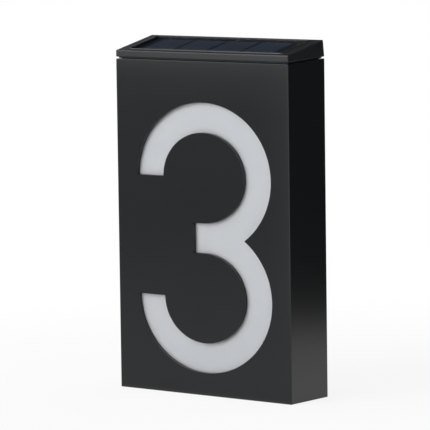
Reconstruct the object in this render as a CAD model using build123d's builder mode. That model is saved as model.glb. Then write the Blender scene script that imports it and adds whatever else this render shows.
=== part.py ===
from build123d import *
from math import atan2, cos, degrees, radians, sin, tan
import os

os.makedirs("parts", exist_ok=True)

# Solar house number light. Millimetres, +Z up, the numeral faces -Y, +X is to its right.
# The origin is the middle of the base. The rear face (+Y) goes against the wall.

# ---- driving dimensions -------------------------------------------------------------
# housing
body_width = 129.5
body_depth = 36.2
body_height = 200.0  # to the front edge of the rim
seam_tilt = 2.5  # degrees that the rim rises to the rear, so that rain runs off the front
front_wall = 2.5
side_wall = 2.0
bottom_wall = 2.0
rear_wall = 2.0
corner_radius = 0.5
edge_radius = 0.5
rim_chamfer = 0.3
rear_rail_height = 33.0
rest_rib_reach = 3.0
rest_rib_height = 12.0
rest_rib_thickness = 2.0
rest_rib_front = 12.6  # from the inside of the front wall
rest_rib_rear = 27.6
rest_gap = 0.2  # between a rib and the module
drain_radius = 1.6
drain_spacing = 70.0

# numeral, cut through the front wall
numeral_x = 0.9
upper_bowl_z = 130.6
lower_bowl_z = 58.6
bowl_half_width = 50.4
bowl_half_height = 45.0
stroke_width = 20.2
stroke_height = 18.0
bar_end_x = -7.1

# solar cap
seam_gap = 1.1
lip_height = 4.0  # height of the cap's front face
cap_tilt = 12.1  # degrees
cap_rear_lean = 7.2  # degrees that the rear face leans forward
cap_edge_radius = 0.4
skirt_inset = 1.3  # of the skirt below the cap, from the cap's sides
skirt_drop_gap = 0.3  # between the skirt and the housing's rim
skirt_clearance = 0.15  # round the tray's rim
panel_length = 113.4
panel_width = 27.2
panel_front_strip = 4.6  # bezel in front of the panel, along the slope
panel_clearance = 0.3
panel_recess = 0.5  # panel surface below the bezel
panel_rim_width = 0.8
panel_rim_height = 0.4  # of the rim round the panel above the bezel
panel_rim_radius = 0.15
cover_thickness = 0.75
cell_thickness = 0.25
backing_thickness = 1.2
panel_seal_thickness = 0.5
panel_seal_width = 2.2
panel_corner_radius = 1.0
panel_ledge = 1.6
panel_ledge_width = 2.5
cell_count = 4
cell_length = 23.8
cell_width = 25.2
cell_gap = 1.2
cell_shift = -2.7  # of the row of cells, which leaves room for its bus at the right

# solar module's lower moulding
plug_clearance = 0.25
plug_depth = 20.0  # below the front edge of the rim
plug_wall = 1.5
plug_corner_radius = 1.5
floor_thickness = 1.5
gasket_thickness = 0.6
post_radius = 3.2
post_side_inset = 2.0  # of a post's axis from the inside of the plug's side wall
post_end_inset = 3.5  # of a post's axis from the inside of the plug's front or rear wall
screw_shank_radius = 1.3
screw_head_radius = 2.1
screw_head_height = 1.6
screw_seat_depth = 6.6  # of the head's seat below the front edge of the rim
screw_tip_cover = 2.0  # least plastic over a screw's tip
post_bore_clearance = 0.25
seal_groove_depth = 0.8
seal_height = 1.6
seal_drop = 4.6  # of the groove's top below the rim's front edge
seal_gap = 0.1  # between the seal ring and the housing

# battery bay
battery_radius = 7.15
battery_length = 49.3  # without the nub
battery_lift = 0.3  # of the battery above the floor's underside
battery_chamfer = 0.5
nub_radius = 2.6
nub_chamfer = 0.3
nub_length = 1.2
bay_clearance = 0.4
bay_wall = 1.2
bay_lamp_gap = 0.4  # between the lamps' window and the door's rail
bay_start = 8.0  # left end of the bay, from the inside of the plug's left wall
spring_length = 4.4
spring_wire_radius = 0.35
spring_wire_sides = 6
spring_big_radius = 4.6
spring_small_radius = 2.4
spring_turns = 3
contact_thickness = 0.5
contact_radius = 6.2
door_thickness = 1.5
door_clearance = 0.25
door_side_margin = 0.5
door_corner_radius = 0.8
ridge_start = 9.0
ridge_pitch = 1.6
ridge_count = 5
ridge_radius = 0.4
ridge_length = 9.0
tongue_length = 9.0
tongue_width = 8.0
tongue_slot = 0.8
rail_wall = 1.0
rail_lip = 1.2
rail_lip_thickness = 1.2
rail_end_gap = 0.5  # from the switch's slot
tag_width = 2.0
tag_rise = 1.6
tag_clearance = 0.1
roof_wall = 1.2

# lamps
lamp_count = 8
lamp_pitch = 12.0
lamp_length = 3.5
lamp_width = 2.6
lamp_height = 0.8
lamp_chamfer = 0.2
led_board_length = 98.0
led_board_width = 3.6
led_board_thickness = 1.0
led_slot_length = 92.0
led_slot_width = 2.9
window_margin = 0.7  # land round the slot
window_clearance = 0.1
window_thickness = 0.6
window_recess = 0.05

# control board and switch
board_gap = 1.6  # between the battery bay and the board
board_end_gap = 0.8  # between the board and the screw posts
board_front_gap = 5.85  # from the inside of the plug's front wall
board_rear_gap = 0.3
board_thickness = 1.6
board_lift = 4.6  # above the tray's floor
standoff_radius = 1.9
standoff_inset_x = 2.5  # of its axis from the board's end
standoff_inset_y = 3.9
board_screw_radius = 0.9
board_screw_head = 1.7
board_screw_head_height = 1.1
board_screw_bite = 3.0
switch_inset = 10.0  # from the board's right end
switch_length = 8.6
switch_width = 3.0
switch_travel = 2.5
knob_length = 2.0
knob_width = 1.4
knob_drop = 1.6  # below the tray's floor
switch_clearance = 0.25
switch_lift = 0.2  # of its case above the tray's floor
knob_shoulder = 0.7
knob_head_height = 1.4
knob_chamfer = 0.25
chip_share_x = 0.34  # of the board's length from its left end
chip_share_y = 0.21  # of its width from its front edge
chip_length = 5.0
chip_width = 3.9
chip_height = 1.4
chip_lift = 0.15
chip_legs = 4
chip_leg_pitch = 1.27
chip_leg_width = 0.4
chip_leg_reach = 1.0
chip_leg_thickness = 0.3
chip_chamfer = 0.3
inductor_share_x = 0.53
inductor_share_y = 0.21
inductor_radius = 3.0
inductor_core = 1.8
inductor_height = 4.0
inductor_flange = 0.9
capacitor_share_x = 0.34
capacitor_share_y = 0.69
capacitor_radius = 3.15
capacitor_height = 7.0
capacitor_chamfer = 0.5
socket_length = 7.0
socket_width = 4.4
socket_height = 5.6
socket_chamfer = 0.3
battery_socket_share = 0.19
solar_socket_share = 0.62
led_socket_share = 0.78
led_socket_inset = 4.0  # from the board's front edge

# light stack behind the numeral
diffuser_thickness = 2.0
guide_thickness = 3.5
reflector_thickness = 0.5
stack_side_gap = 0.2
sheet_corner_radius = 1.0
stack_top_gap = 2.0
stack_foot = 4.8  # above the bottom wall
foot_rib_length = 10.0
foot_rib_thickness = 1.2
boss_radius = 2.6
boss_inset = 2.5
boss_rows = 3
boss_end_inset = 9.0  # of the outer rows from the retaining frame's ends
frame_thickness = 2.2
frame_border = 11.0
frame_bar = 9.0
frame_windows = 3
frame_corner_radius = 3.0
frame_rib_thickness = 1.4
frame_rib_height = 2.0
frame_side_gap = 0.3
frame_top_drop = 3.8  # below the module's floor
retainer_radius = 1.1
retainer_head_radius = 2.2
retainer_head_height = 1.4
retainer_bite = 3.6
screw_tip_gap = 0.4  # below the tip, in its bore

# screw heads
pan_slope_share = 0.6  # of the head's height that its shoulder slopes over
pan_crown_share = 0.6  # of the head's radius that is flat on top
pan_recess_share = 0.55  # of the head's width that the cross recess spans
pan_recess_ratio = 5.0  # of the recess's length to its width
pan_recess_depth_share = 0.55

# wall plate
plate_thickness = 1.5
plate_gap = 0.3
plate_flange = 8.0
wall_hole_radius = 2.25
wall_hole_spacing_x = 80.0
wall_hole_spacing_z = 110.0
wall_hole_centre_z = 88.0
hook_width = 16.0
hook_spacing = 70.0
hook_rise = 7.5
hook_gap = 0.2
bend_radius = 1.2
bead_depth = 1.0
bead_radius = 4.0
bead_length = 84.0
bead_pitch = 26.0
bead_count = 3
base_screw_radius = 1.5
base_screw_head_radius = 2.8
base_screw_length = 8.0
base_screw_spacing = 90.0
base_screw_inset = 7.0  # from the rear face
countersink_angle = 82.0
cross_recess_length = 2.4
cross_recess_width = 0.5
foot_margin = 6.0  # of the plate's foot beyond each screw
screw_clearance = 0.1
thread_clearance = 0.02
nut_radius = 3.0
nut_height = 2.5

# wires inside the module
wire_radius = 0.6
wire_pitch = 2.8
wire_rise = 3.8  # of a wire's bend above its socket
wire_bend = 1.9
wire_sides = 8

# ---- places worked out from them ----------------------------------------------------
y_front = -body_depth / 2
y_rear = body_depth / 2
inner_x = body_width / 2 - side_wall
inner_front = y_front + front_wall
inner_rear = y_rear - rear_wall
seam_slope = tan(radians(seam_tilt))
cap_slope = tan(radians(cap_tilt))
plug_x = inner_x - plug_clearance
plug_front = inner_front + plug_clearance
plug_rear = inner_rear - plug_clearance
plug_mid_y = (plug_front + plug_rear) / 2
plug_length = 2 * plug_x
plug_width = plug_rear - plug_front
plug_inner_x = plug_x - plug_wall
floor_z = body_height - plug_depth
floor_top = floor_z + floor_thickness
cap_front_top = body_height + seam_gap + lip_height
rail_bottom = body_height - rear_rail_height
stack_x = inner_x - boss_inset - boss_radius - stack_side_gap
stack_bottom = bottom_wall + stack_foot
stack_top = floor_z - stack_top_gap
guide_front = inner_front + diffuser_thickness
guide_rear = guide_front + guide_thickness
frame_front = guide_rear + reflector_thickness
frame_x = inner_x - frame_side_gap
frame_top = floor_z - frame_top_drop
frame_bottom = bottom_wall + frame_side_gap
lamp_y = (guide_front + guide_rear) / 2


def seam_z(y, lift=0.0):
    """Height of the housing's sloping rim at depth y, plus a lift."""
    return body_height + (y - y_front) * seam_slope + lift


def save(builder, label):
    builder.part.label = label
    export_step(builder.part, f"parts/{label}.step")


# Planes that several pieces share
rim_plane = Plane(
    origin=(0, y_front, body_height),
    x_dir=(1, 0, 0),
    z_dir=(0, -sin(radians(seam_tilt)), cos(radians(seam_tilt))),
)
cap_base_plane = rim_plane.offset(seam_gap * cos(radians(seam_tilt)))
tray_rim_plane = cap_base_plane.offset(-gasket_thickness)
cap_top_plane = Plane(
    origin=(0, y_front, cap_front_top),
    x_dir=(1, 0, 0),
    z_dir=(0, -sin(radians(cap_tilt)), cos(radians(cap_tilt))),
)
# Solar module
post_x = plug_inner_x - post_side_inset
post_front_y = plug_front + plug_wall + post_end_inset
post_rear_y = plug_rear - plug_wall - post_end_inset
post_places = [(x, y) for x in (-post_x, post_x) for y in (post_front_y, post_rear_y)]
screw_seat_z = body_height - screw_seat_depth
screw_tip_z = cap_front_top + (post_front_y - screw_shank_radius - y_front) * cap_slope - screw_tip_cover
bore_radius = screw_head_radius + post_bore_clearance
pocket_depth = panel_recess + cover_thickness + cell_thickness + backing_thickness + panel_seal_thickness
panel_centre_s = panel_front_strip + panel_width / 2  # up the slope from the front edge
pocket_length = panel_length + 2 * panel_clearance
pocket_width = panel_width + 2 * panel_clearance

# Battery bay, its door's front rail close behind the lamps' window
bay_half = battery_radius + bay_clearance
door_half = bay_half + door_side_margin
rail_inner = door_half + door_clearance
window_rear_y = lamp_y + led_slot_width / 2 + window_margin
bay_centre_y = window_rear_y + bay_lamp_gap + rail_wall + rail_inner
bay_x0 = -plug_inner_x + bay_start
spring_x = bay_x0 + contact_thickness
battery_x0 = spring_x + spring_length
battery_x1 = battery_x0 + battery_length
nub_x = battery_x1 + nub_length
bay_x1 = nub_x + contact_thickness
battery_z = floor_z + battery_lift + battery_radius
roof_z = battery_z + bay_half + roof_wall
tag_top = roof_z + tag_rise
door_top = floor_z - door_clearance
door_bottom = door_top - door_thickness
rail_z = door_bottom - door_clearance - rail_lip_thickness
negative_y = bay_centre_y - wire_pitch / 2
positive_y = bay_centre_y + wire_pitch / 2

# Board and switch
board_x0 = bay_x1 + bay_wall + board_gap
board_x1 = post_x - post_radius - board_end_gap
board_front_y = plug_front + plug_wall + board_front_gap
board_rear_y = plug_rear - plug_wall - board_rear_gap
board_length = board_x1 - board_x0
board_width = board_rear_y - board_front_y
board_z = floor_top + board_lift
board_top = board_z + board_thickness
board_mid_x = (board_x0 + board_x1) / 2
board_mid_y = (board_front_y + board_rear_y) / 2
standoff_span_x = board_length - 2 * standoff_inset_x
standoff_span_y = board_width - 2 * standoff_inset_y
switch_x = board_x1 - switch_inset
switch_y = board_rear_y - switch_width / 2
switch_slot_length = knob_length + switch_travel + 2 * switch_clearance + knob_width
rail_x1 = switch_x - switch_slot_length / 2 - rail_end_gap
chip_x = board_x0 + chip_share_x * board_length
chip_y = board_front_y + chip_share_y * board_width
inductor_x = board_x0 + inductor_share_x * board_length
inductor_y = board_front_y + inductor_share_y * board_width
capacitor_x = board_x0 + capacitor_share_x * board_length
capacitor_y = board_front_y + capacitor_share_y * board_width

# ---- housing ------------------------------------------------------------------------
numeral_plane = Plane.XZ.offset(-y_front)
opening_height = upper_bowl_z - lower_bowl_z
bar_height = opening_height - 2 * (bowl_half_height - stroke_height)

with BuildSketch(numeral_plane) as numeral:
    with Locations((numeral_x, upper_bowl_z), (numeral_x, lower_bowl_z)):
        Ellipse(bowl_half_width, bowl_half_height)
    with Locations((numeral_x, upper_bowl_z), (numeral_x, lower_bowl_z)):
        Ellipse(bowl_half_width - stroke_width, bowl_half_height - stroke_height, mode=Mode.SUBTRACT)
    with Locations((numeral_x - bowl_half_width, (upper_bowl_z + lower_bowl_z) / 2)):
        Rectangle(2 * bowl_half_width, opening_height, mode=Mode.SUBTRACT)
    with Locations((bar_end_x, (upper_bowl_z + lower_bowl_z) / 2)):
        Rectangle(numeral_x - bar_end_x, bar_height, align=(Align.MIN, Align.CENTER))

boss_places_x = inner_x - boss_inset
boss_mid_z = (frame_bottom + frame_top) / 2
boss_row_pitch = (frame_top - frame_bottom - 2 * boss_end_inset) / (boss_rows - 1)

with BuildPart() as housing:
    with BuildSketch(Plane.XY):
        Rectangle(body_width, body_depth)
    extrude(amount=body_height + body_depth)
    fillet(housing.edges().filter_by(Axis.Z), corner_radius)
    split(bisect_by=rim_plane, keep=Keep.BOTTOM)
    fillet(housing.faces().sort_by(Axis.Z)[0].edges(), edge_radius)
    chamfer(housing.faces().sort_by(Axis.Z)[-1].edges(), rim_chamfer)

    # the inside, and the opening that the wall plate closes
    with BuildSketch(Plane.XY.offset(bottom_wall)):
        with Locations((0, (inner_front + inner_rear) / 2)):
            Rectangle(2 * inner_x, inner_rear - inner_front)
    extrude(amount=body_height + body_depth, mode=Mode.SUBTRACT)
    with BuildSketch(Plane.XY.offset(bottom_wall)):
        with Locations((0, y_rear)):
            Rectangle(2 * inner_x, 2 * rear_wall)
    extrude(amount=rail_bottom - bottom_wall, mode=Mode.SUBTRACT)

    # numeral
    extrude(numeral.sketch, amount=-front_wall, mode=Mode.SUBTRACT)

    # bosses for the retaining frame's screws
    with BuildSketch(Plane.XZ.offset(-inner_front)):
        with Locations((0, boss_mid_z)):
            with GridLocations(2 * boss_places_x, boss_row_pitch, 2, boss_rows):
                Circle(boss_radius)
    extrude(amount=-(frame_front - inner_front))
    with BuildSketch(Plane.XZ.offset(-frame_front)):
        with Locations((0, boss_mid_z)):
            with GridLocations(2 * boss_places_x, boss_row_pitch, 2, boss_rows):
                Circle(retainer_radius)
    extrude(amount=retainer_bite, mode=Mode.SUBTRACT)

    # feet that carry the light stack
    with BuildSketch(Plane.XZ.offset(-inner_front)):
        with Locations((0, stack_bottom - foot_rib_thickness / 2)):
            with GridLocations(stack_x, 0, 2, 1):
                Rectangle(foot_rib_length, foot_rib_thickness)
    extrude(amount=-(frame_front - inner_front))

    # ribs under the solar module
    for side in (-1, 1):
        for rib_y in (inner_front + rest_rib_front, inner_front + rest_rib_rear):
            with BuildSketch(Plane.XZ.offset(-rib_y)):
                with BuildLine():
                    Polyline(
                        (side * inner_x, floor_z - rest_gap),
                        (side * (inner_x - rest_rib_reach), floor_z - rest_gap),
                        (side * inner_x, floor_z - rest_gap - rest_rib_height),
                        close=True,
                    )
                make_face()
            extrude(amount=rest_rib_thickness / 2, both=True)

    # countersunk screws through the base, and drain holes
    base_screw_y = y_rear - base_screw_inset
    with Locations(Plane((0, base_screw_y, 0), z_dir=(0, 0, -1))):
        with GridLocations(base_screw_spacing, 0, 2, 1):
            CounterSinkHole(
                base_screw_radius + screw_clearance,
                base_screw_head_radius + screw_clearance,
                depth=bottom_wall,
                counter_sink_angle=countersink_angle,
            )
    with Locations(Plane((0, 0, 0), z_dir=(0, 0, -1))):
        with GridLocations(drain_spacing, 0, 2, 1):
            Hole(drain_radius, depth=bottom_wall)
save(housing, "housing")

# ---- light stack --------------------------------------------------------------------


def stack_sheet(y0, thickness):
    """Sheet of the light stack, its front face at depth y0."""
    with BuildPart() as sheet:
        with BuildSketch(Plane.XZ.offset(-y0)):
            with Locations((0, (stack_bottom + stack_top) / 2)):
                RectangleRounded(2 * stack_x, stack_top - stack_bottom, sheet_corner_radius)
        extrude(amount=-thickness)
    return sheet


diffuser = stack_sheet(inner_front, diffuser_thickness)
save(diffuser, "diffuser")
light_guide = stack_sheet(guide_front, guide_thickness)
save(light_guide, "light_guide")
reflector_sheet = stack_sheet(guide_rear, reflector_thickness)
save(reflector_sheet, "reflector_sheet")

frame_height = frame_top - frame_bottom
frame_window_x = 2 * (frame_x - frame_border)
frame_window_z = frame_height - 2 * frame_border
frame_window_pitch = (frame_window_z + frame_bar) / frame_windows

with BuildPart() as retaining_frame:
    with BuildSketch(Plane.XZ.offset(-frame_front)) as frame_face:
        with Locations((0, boss_mid_z)):
            Rectangle(2 * frame_x, frame_height)
            Rectangle(frame_window_x, frame_window_z, mode=Mode.SUBTRACT)
            with GridLocations(0, frame_window_pitch, 1, frame_windows - 1):
                Rectangle(frame_window_x, frame_bar)
        fillet(frame_face.vertices(), frame_corner_radius)
    extrude(amount=-frame_thickness)
    # stiffening rib round the windows
    with BuildSketch(Plane.XZ.offset(-frame_front - frame_thickness)):
        with Locations((0, boss_mid_z)):
            rib_x = frame_window_x + 2 * frame_rib_thickness
            rib_z = frame_window_z + 2 * frame_rib_thickness
            RectangleRounded(rib_x, rib_z, frame_corner_radius + frame_rib_thickness)
            RectangleRounded(frame_window_x, frame_window_z, frame_corner_radius, mode=Mode.SUBTRACT)
    extrude(amount=-frame_rib_height)
    with BuildSketch(Plane.XZ.offset(-frame_front)):
        with Locations((0, boss_mid_z)):
            with GridLocations(2 * boss_places_x, boss_row_pitch, 2, boss_rows):
                Circle(retainer_radius + screw_clearance)
    extrude(amount=-frame_thickness, mode=Mode.SUBTRACT)
save(retaining_frame, "retaining_frame")


def pan_screw(shank_radius, length, head_radius, head_height):
    """Cross-recessed pan head screw: its head stands on the XY plane, its shank is below."""
    shoulder = head_height * pan_slope_share
    crown = head_radius * pan_crown_share
    recess_length = 2 * head_radius * pan_recess_share
    recess_width = recess_length / pan_recess_ratio
    with BuildPart() as screw:
        with BuildSketch(Plane.XZ):
            with BuildLine():
                Polyline(
                    (0, head_height),
                    (0, -length),
                    (shank_radius / 2, -length),
                    (shank_radius, -length + shank_radius),
                    (shank_radius, 0),
                    (head_radius, 0),
                    (head_radius, head_height - shoulder),
                    (crown, head_height),
                    close=True,
                )
            make_face()
        revolve(axis=Axis.Z)
        with BuildSketch(Plane.XY.offset(head_height)):
            Rectangle(recess_length, recess_width)
            Rectangle(recess_width, recess_length)
        extrude(amount=-head_height * pan_recess_depth_share, mode=Mode.SUBTRACT)
    return screw.part


with BuildPart() as retaining_screws:
    with Locations(Plane((0, frame_front + frame_thickness, boss_mid_z), x_dir=(1, 0, 0), z_dir=(0, 1, 0))):
        with GridLocations(2 * boss_places_x, boss_row_pitch, 2, boss_rows):
            add(
                pan_screw(
                    retainer_radius - thread_clearance,
                    frame_thickness + retainer_bite - screw_tip_gap,
                    retainer_head_radius,
                    retainer_head_height,
                )
            )
save(retaining_screws, "retaining_screws")

# ---- solar cap ----------------------------------------------------------------------
lean = tan(radians(cap_rear_lean))
cap_rear_bottom_z = seam_z(y_rear, seam_gap)
cap_rise = cap_front_top + body_depth * cap_slope - cap_rear_bottom_z
cap_rear_top_y = y_rear - lean * cap_rise / (1 + cap_slope * lean)
cap_rear_top_z = cap_front_top + (cap_rear_top_y - y_front) * cap_slope
cavity_depth = (pocket_depth + panel_ledge) / cos(radians(cap_tilt))


def cavity_ceiling(y):
    return cap_front_top + (y - y_front) * cap_slope - cavity_depth


with BuildPart() as cap_bosses:
    with BuildSketch(Plane.XY.offset(body_height)):
        with Locations(*post_places):
            Circle(post_radius)
    extrude(amount=body_depth / 2)
    split(bisect_by=cap_top_plane.offset(-pocket_depth - panel_ledge / 2), keep=Keep.BOTTOM)
    split(bisect_by=cap_base_plane, keep=Keep.TOP)

with BuildPart() as cap_skirt:
    with BuildSketch(Plane.XY.offset(body_height)):
        Rectangle(body_width - 2 * skirt_inset, body_depth - 2 * skirt_inset)
        with Locations((0, plug_mid_y)):
            skirt_hole_x = plug_length + 2 * skirt_clearance
            skirt_hole_y = plug_width + 2 * skirt_clearance
            RectangleRounded(skirt_hole_x, skirt_hole_y, plug_corner_radius, mode=Mode.SUBTRACT)
    extrude(amount=body_depth)
    split(bisect_by=rim_plane.offset(skirt_drop_gap), keep=Keep.TOP)
    split(bisect_by=cap_base_plane, keep=Keep.BOTTOM)

with BuildPart() as cap_frame:
    with BuildSketch(Plane.YZ.offset(-body_width / 2)):
        with BuildLine():
            Polyline(
                (y_front, seam_z(y_front, seam_gap)),
                (y_front, cap_front_top),
                (cap_rear_top_y, cap_rear_top_z),
                (y_rear, cap_rear_bottom_z),
                close=True,
            )
        make_face()
    extrude(amount=body_width)
    side_edges = [e for f in cap_frame.faces().filter_by(Axis.X) for e in f.edges()]
    upright = [e for e in side_edges if abs(e.tangent_at(0.5).Z) > abs(e.tangent_at(0.5).Y)]
    fillet(upright, corner_radius)
    fillet(cap_frame.faces().sort_by(Axis.Z)[-1].edges(), cap_edge_radius)
    chamfer(cap_frame.faces().sort_by(Axis.Z)[0].edges(), rim_chamfer)

    # rim round the panel, its pocket, and the window through the pocket's ledge
    with BuildSketch(cap_top_plane):
        with Locations((0, panel_centre_s)):
            rim_x = pocket_length + 2 * panel_rim_width
            rim_s = pocket_width + 2 * panel_rim_width
            RectangleRounded(rim_x, rim_s, panel_corner_radius + panel_rim_width)
    extrude(amount=panel_rim_height)
    with BuildSketch(cap_top_plane.offset(panel_rim_height)):
        with Locations((0, panel_centre_s)):
            RectangleRounded(pocket_length, pocket_width, panel_corner_radius)
    extrude(amount=-pocket_depth - panel_rim_height, mode=Mode.SUBTRACT)
    slope_axis = Axis(cap_top_plane.origin, cap_top_plane.z_dir)
    fillet(cap_frame.faces().sort_by(slope_axis)[-1].edges(), panel_rim_radius)
    with BuildSketch(cap_top_plane):
        with Locations((0, panel_centre_s)):
            ledge_window_x = pocket_length - 2 * panel_ledge_width
            ledge_window_s = pocket_width - 2 * panel_ledge_width
            RectangleRounded(ledge_window_x, ledge_window_s, panel_corner_radius)
    extrude(amount=-body_depth, mode=Mode.SUBTRACT)

    # hollow below the ledge
    with BuildSketch(Plane.YZ.offset(-plug_inner_x)):
        with BuildLine():
            Polyline(
                (plug_front + plug_wall, floor_z),
                (plug_rear - plug_wall, floor_z),
                (plug_rear - plug_wall, cavity_ceiling(plug_rear - plug_wall)),
                (plug_front + plug_wall, cavity_ceiling(plug_front + plug_wall)),
                close=True,
            )
        make_face()
    extrude(amount=2 * plug_inner_x, mode=Mode.SUBTRACT)

    # skirt over the housing's rim, and bosses that take the tray screws
    add(cap_skirt.part)
    add(cap_bosses.part)
    with BuildSketch(Plane.XY.offset(screw_tip_z)):
        with Locations(*post_places):
            Circle(screw_shank_radius)
    extrude(amount=-body_depth, mode=Mode.SUBTRACT)
save(cap_frame, "cap_frame")

# ---- solar panel, stacked down from the bezel along the slope -------------------------


def panel_layer(depth, thickness, length=panel_length, width=panel_width):
    """Sheet of the panel whose top lies at a depth below the bezel."""
    with BuildPart() as layer:
        with BuildSketch(cap_top_plane.offset(-depth)):
            with Locations((0, panel_centre_s)):
                RectangleRounded(length, width, panel_corner_radius)
        extrude(amount=-thickness)
    return layer


cell_depth = panel_recess + cover_thickness
backing_depth = cell_depth + cell_thickness
panel_seal_depth = backing_depth + backing_thickness

solar_cover = panel_layer(panel_recess, cover_thickness)
save(solar_cover, "solar_cover")

with BuildPart() as solar_cells:
    with BuildSketch(cap_top_plane.offset(-cell_depth)):
        with Locations((cell_shift, panel_centre_s)):
            with GridLocations(cell_length + cell_gap, 0, cell_count, 1):
                Rectangle(cell_length, cell_width)
    extrude(amount=-cell_thickness)
save(solar_cells, "solar_cells")

solar_backing = panel_layer(backing_depth, backing_thickness)
save(solar_backing, "solar_backing")

with BuildPart() as panel_seal:
    with BuildSketch(cap_top_plane.offset(-panel_seal_depth)):
        with Locations((0, panel_centre_s)):
            RectangleRounded(panel_length, panel_width, panel_corner_radius)
            seal_hole_x = panel_length - 2 * panel_seal_width
            seal_hole_s = panel_width - 2 * panel_seal_width
            Rectangle(seal_hole_x, seal_hole_s, mode=Mode.SUBTRACT)
    extrude(amount=-panel_seal_thickness)
save(panel_seal, "panel_seal")

# ---- module tray --------------------------------------------------------------------
seal_groove_z = body_height - seal_drop - seal_height


def bay_section(x, half, crown):
    """Arched section of the battery bay across X, open at the floor's underside."""
    left = bay_centre_y - half
    right = bay_centre_y + half
    with BuildSketch(Plane.YZ.offset(x)) as section:
        with BuildLine():
            Polyline((left, battery_z), (left, floor_z), (right, floor_z), (right, battery_z))
            ThreePointArc((right, battery_z), (bay_centre_y, battery_z + crown), (left, battery_z))
        make_face()
    return section.sketch


with BuildPart() as module_tray:
    with BuildSketch(Plane.XY.offset(floor_z)):
        with Locations((0, plug_mid_y)):
            RectangleRounded(plug_length, plug_width, plug_corner_radius)
    extrude(amount=plug_depth + body_depth)
    with BuildSketch(Plane.XY.offset(floor_top)):
        with Locations((0, plug_mid_y)):
            Rectangle(2 * plug_inner_x, plug_width - 2 * plug_wall)
    extrude(amount=plug_depth + body_depth, mode=Mode.SUBTRACT)
    with BuildSketch(Plane.XY.offset(floor_top)):
        with Locations(*post_places):
            Circle(post_radius)
    extrude(amount=plug_depth + body_depth)
    split(bisect_by=tray_rim_plane, keep=Keep.BOTTOM)
    with Locations(*[Plane((x, y, floor_z), z_dir=(0, 0, -1)) for x, y in post_places]):
        CounterBoreHole(
            screw_shank_radius + screw_clearance,
            bore_radius,
            screw_seat_z - floor_z,
            depth=body_depth,
        )

    # battery bay, open downwards, with slots for the contacts' tags
    bay_outside = bay_section(bay_x0 - bay_wall, bay_half + bay_wall, bay_half + roof_wall)
    extrude(bay_outside, amount=bay_x1 - bay_x0 + 2 * bay_wall)
    bay_inside = bay_section(bay_x0, bay_half, bay_half)
    extrude(bay_inside, amount=bay_x1 - bay_x0, mode=Mode.SUBTRACT)
    with BuildSketch(Plane.XY.offset(battery_z)):
        negative_tag = (bay_x0 + contact_thickness / 2, negative_y)
        positive_tag = (bay_x1 - contact_thickness / 2, positive_y)
        with Locations(negative_tag, positive_tag):
            Rectangle(contact_thickness, tag_width + 2 * tag_clearance)
    extrude(amount=plug_depth, mode=Mode.SUBTRACT)

    # rails that the battery door slides in
    with BuildSketch(Plane.YZ.offset(bay_x0 - bay_wall)):
        for side in (-1, 1):
            with BuildLine():
                inner_y = bay_centre_y + side * rail_inner
                outer_y = inner_y + side * rail_wall
                lip_y = inner_y - side * rail_lip
                Polyline(
                    (inner_y, floor_z),
                    (outer_y, floor_z),
                    (outer_y, rail_z),
                    (lip_y, rail_z),
                    (lip_y, rail_z + rail_lip_thickness),
                    (inner_y, rail_z + rail_lip_thickness),
                    close=True,
                )
            make_face()
    extrude(amount=rail_x1 - bay_x0 + bay_wall)

    # slot for the lamps, with a rebate for their window
    with BuildSketch(Plane.XY.offset(floor_z)):
        with Locations((0, lamp_y)):
            Rectangle(led_slot_length, led_slot_width)
    extrude(amount=floor_thickness, mode=Mode.SUBTRACT)
    with BuildSketch(Plane.XY.offset(floor_z)):
        with Locations((0, lamp_y)):
            rebate_length = led_slot_length + 2 * window_margin
            rebate_width = led_slot_width + 2 * window_margin
            Rectangle(rebate_length, rebate_width)
    extrude(amount=window_thickness + window_recess, mode=Mode.SUBTRACT)

    # standoffs for the board, and the switch's slot
    with BuildSketch(Plane.XY.offset(floor_top)):
        with Locations((board_mid_x, board_mid_y)):
            with GridLocations(standoff_span_x, standoff_span_y, 2, 2):
                Circle(standoff_radius)
    extrude(amount=board_lift)
    with BuildSketch(Plane.XY.offset(board_z)):
        with Locations((board_mid_x, board_mid_y)):
            with GridLocations(standoff_span_x, standoff_span_y, 2, 2):
                Circle(board_screw_radius)
    extrude(amount=-board_lift, mode=Mode.SUBTRACT)
    with BuildSketch(Plane.XY.offset(floor_z)):
        with Locations((switch_x, switch_y)):
            SlotOverall(switch_slot_length, knob_width + 2 * switch_clearance)
    extrude(amount=floor_thickness, mode=Mode.SUBTRACT)

    # groove for the plug's sealing ring
    with BuildSketch(Plane.XY.offset(seal_groove_z)):
        with Locations((0, plug_mid_y)):
            Rectangle(body_width, body_depth)
            groove_x = plug_length - 2 * seal_groove_depth
            groove_y = plug_width - 2 * seal_groove_depth
            RectangleRounded(groove_x, groove_y, plug_corner_radius, mode=Mode.SUBTRACT)
    extrude(amount=seal_height, mode=Mode.SUBTRACT)
save(module_tray, "module_tray")

with BuildPart() as plug_seal:
    with BuildSketch(Plane.XY.offset(seal_groove_z)):
        with Locations((0, plug_mid_y)):
            seal_x = 2 * (inner_x - seal_gap)
            seal_y = plug_width + 2 * (plug_clearance - seal_gap)
            RectangleRounded(seal_x, seal_y, plug_corner_radius)
            RectangleRounded(groove_x, groove_y, plug_corner_radius, mode=Mode.SUBTRACT)
    extrude(amount=seal_height)
save(plug_seal, "plug_seal")

with BuildPart() as tray_gasket:
    with BuildSketch(Plane.XY.offset(floor_z)):
        with Locations((0, plug_mid_y)):
            RectangleRounded(plug_length, plug_width, plug_corner_radius)
            Rectangle(2 * plug_inner_x, plug_width - 2 * plug_wall, mode=Mode.SUBTRACT)
    extrude(amount=plug_depth + body_depth)
    split(bisect_by=tray_rim_plane, keep=Keep.TOP)
    split(bisect_by=cap_base_plane, keep=Keep.BOTTOM)
save(tray_gasket, "tray_gasket")

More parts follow.
